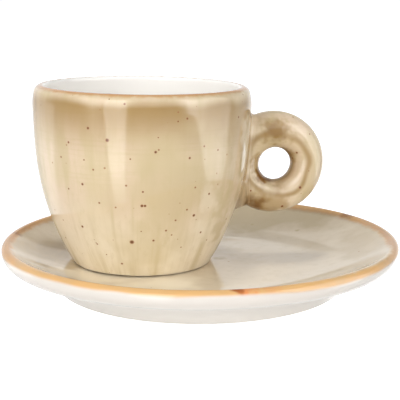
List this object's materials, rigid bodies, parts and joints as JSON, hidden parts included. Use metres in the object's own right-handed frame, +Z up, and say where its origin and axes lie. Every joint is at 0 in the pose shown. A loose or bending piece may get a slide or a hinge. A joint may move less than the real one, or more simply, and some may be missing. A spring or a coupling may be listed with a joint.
{
  "type": "espresso cup with saucer",
  "caption": "Thick-walled espresso cup with a ring handle, standing on a shallow round saucer, in speckled straw and cream glaze.",
  "frame": {"origin": "centre of the saucer's foot, on the table", "axes": "+X towards the side where the handle points, +Y away from the pictured side, +Z up"},
  "size_m": [0.12, 0.12, 0.0608],
  "materials": {
    "saucer_glaze": "glossy cream glaze with fine brown speckles and an orange-brown rim band, white underneath",
    "cup_glaze": "glossy straw glaze with brushed streaks and brown speckles, white inside"
  },
  "bodies": {
    "saucer": {"saucer": "saucer_glaze"},
    "cup": {"cup_body": "cup_glaze", "ring_handle": "cup_glaze"}
  },
  "joints": [
    {"name": "cup_lift", "type": "slide", "parent": "saucer", "child": "cup", "axis": [0, 0, 1], "range_m": [0, 0.08]}
  ]
}
